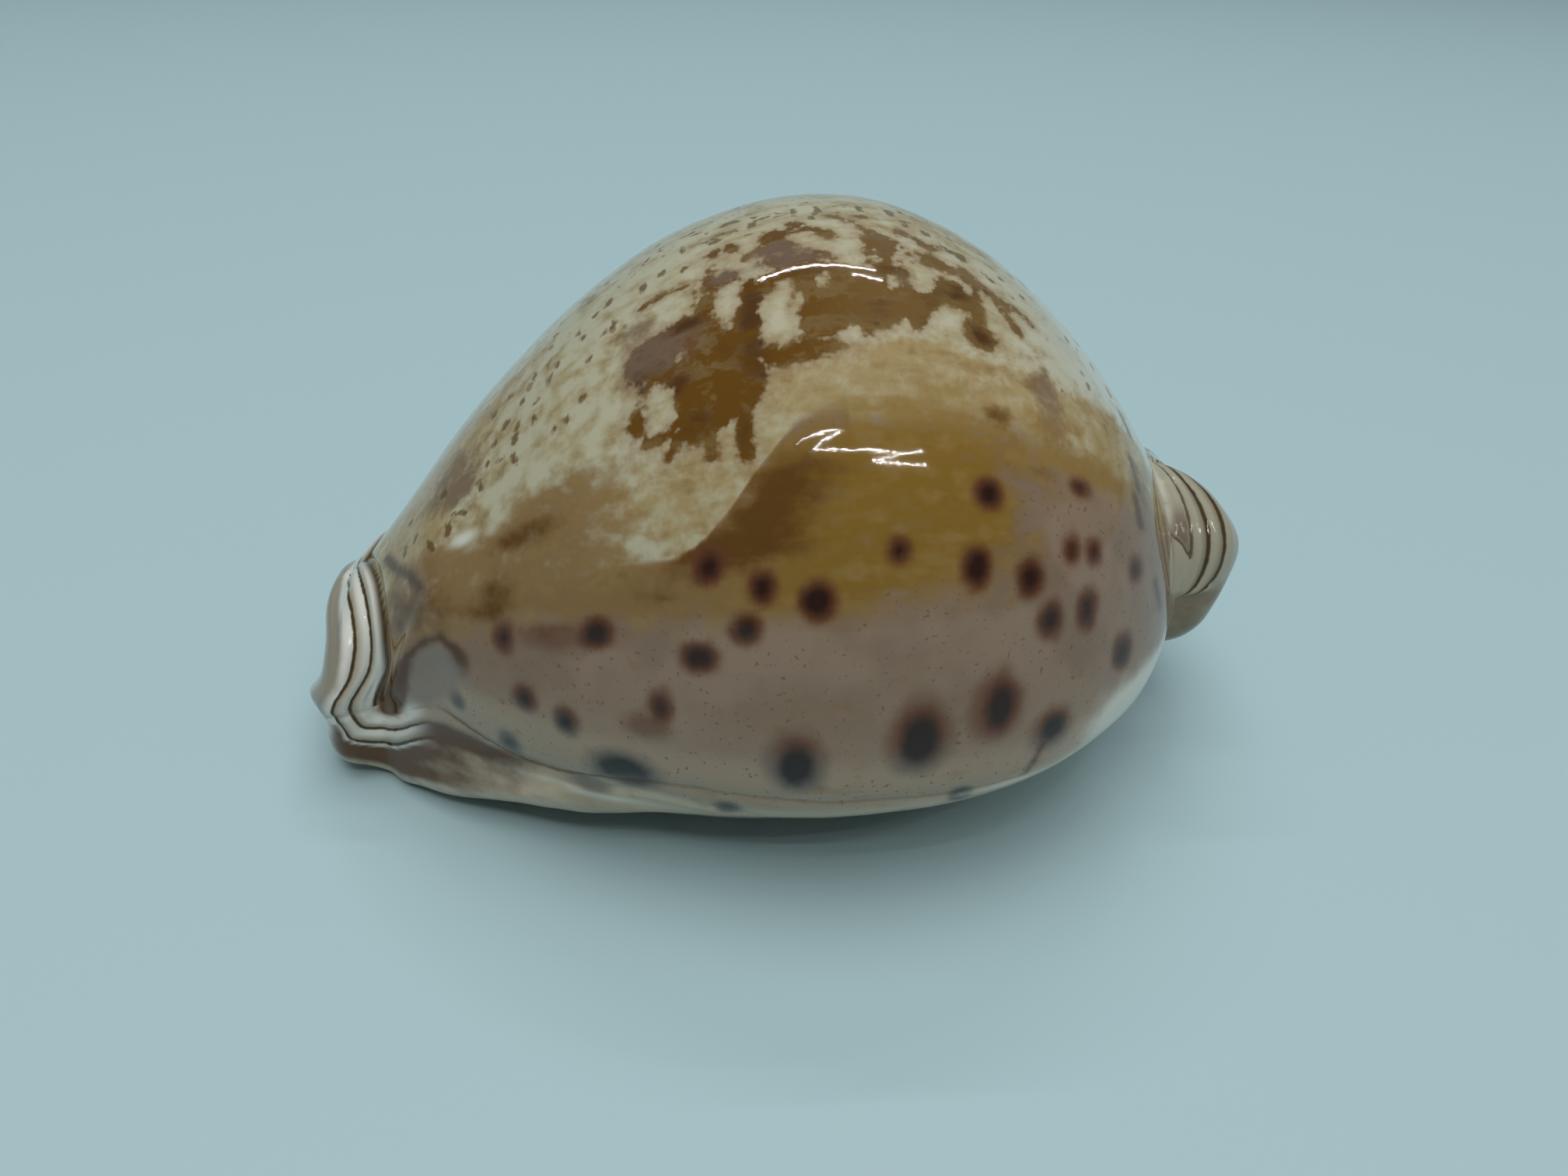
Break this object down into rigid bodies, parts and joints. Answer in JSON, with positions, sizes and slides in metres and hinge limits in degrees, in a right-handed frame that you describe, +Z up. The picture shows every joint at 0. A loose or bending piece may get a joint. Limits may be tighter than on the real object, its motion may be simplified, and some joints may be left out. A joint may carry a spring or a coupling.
{
  "type": "cowrie shell",
  "caption": "Humped, glossy cowrie shell with a toothed slit along its base, a spout at each end and a spotted brown and cream surface; lies on its base.",
  "frame": {"origin": "middle of the shell's bounding box, on the surface that it lies on", "axes": "+X towards the broad back end with the spire, -X towards the narrow front end, +Y towards the outer lip side, -Y towards the columella side, +Z up to the humped back"},
  "size_m": [0.063, 0.0444, 0.0366],
  "materials": {
    "shell_enamel": "polished porcelain-like natural enamel, cream with brown mottling, dark spots on the lilac-grey sides, striped spouts"
  },
  "bodies": {
    "root": {"cowrie_shell": "shell_enamel"}
  },
  "joints": []
}
